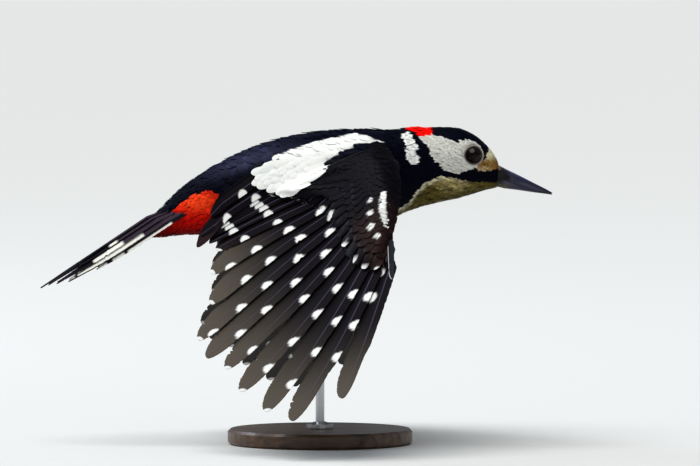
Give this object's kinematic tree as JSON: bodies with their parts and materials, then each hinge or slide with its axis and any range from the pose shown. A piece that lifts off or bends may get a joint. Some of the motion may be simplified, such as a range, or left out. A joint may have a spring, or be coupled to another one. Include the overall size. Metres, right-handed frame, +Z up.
{
  "type": "great spotted woodpecker",
  "caption": "Life-size male great spotted woodpecker in flight, wings part way down, tail closed and bill forward, held over the floor by a plain disc stand with an upright rod.",
  "frame": {"origin": "centre of the stand base's underside, on the floor and below the rod", "axes": "+X the way the bird flies and its beak points, +Y the bird's left, +Z up"},
  "size_m": [0.2323, 0.2364, 0.1448],
  "materials": {
    "body_feathers": "soft overlapping contour feathers, blue-black, white, buff and red by region",
    "flight_feathers": "smooth barbed vanes, brown-black with white spots and pale shafts",
    "tail_feathers": "stiff barbed vanes, black, the outer ones barred with white",
    "beak_horn": "satin slate-grey horn",
    "eye": "wet gloss, dark red-brown iris",
    "foot_skin": "scaly grey skin",
    "stand_wood": "oiled dark wood",
    "stand_steel": "brushed"
  },
  "bodies": {
    "root": {"trunk": "body_feathers", "rump": "body_feathers", "neck": "body_feathers", "head": "body_feathers", "thigh_right": "body_feathers", "thigh_left": "body_feathers", "arm_right": "body_feathers", "arm_left": "body_feathers", "hand_right": "body_feathers", "hand_left": "body_feathers", "primary_01_right": "flight_feathers", "primary_01_left": "flight_feathers", "primary_02_right": "flight_feathers", "primary_02_left": "flight_feathers", "primary_03_right": "flight_feathers", "primary_03_left": "flight_feathers", "primary_04_right": "flight_feathers", "primary_04_left": "flight_feathers", "primary_05_right": "flight_feathers", "primary_05_left": "flight_feathers", "primary_06_right": "flight_feathers", "primary_06_left": "flight_feathers", "primary_07_right": "flight_feathers", "primary_07_left": "flight_feathers", "primary_08_right": "flight_feathers", "primary_08_left": "flight_feathers", "primary_09_right": "flight_feathers", "primary_09_left": "flight_feathers", "primary_10_right": "flight_feathers", "primary_10_left": "flight_feathers", "secondary_1_right": "flight_feathers", "secondary_1_left": "flight_feathers", "secondary_2_right": "flight_feathers", "secondary_2_left": "flight_feathers", "secondaries_right": "flight_feathers", "secondaries_left": "flight_feathers", "tertials_right": "flight_feathers", "tertials_left": "flight_feathers", "tail_1_right": "tail_feathers", "tail_1_left": "tail_feathers", "tail_2_right": "tail_feathers", "tail_2_left": "tail_feathers", "tail_3_right": "tail_feathers", "tail_3_left": "tail_feathers", "tail_4_right": "tail_feathers", "tail_4_left": "tail_feathers", "tail_5_right": "tail_feathers", "tail_5_left": "tail_feathers", "beak_upper": "beak_horn", "beak_lower": "beak_horn", "eye_right": "eye", "eye_left": "eye", "foot_right": "foot_skin", "foot_left": "foot_skin", "stand_base": "stand_wood", "stand_rod": "stand_steel"}
  },
  "joints": []
}
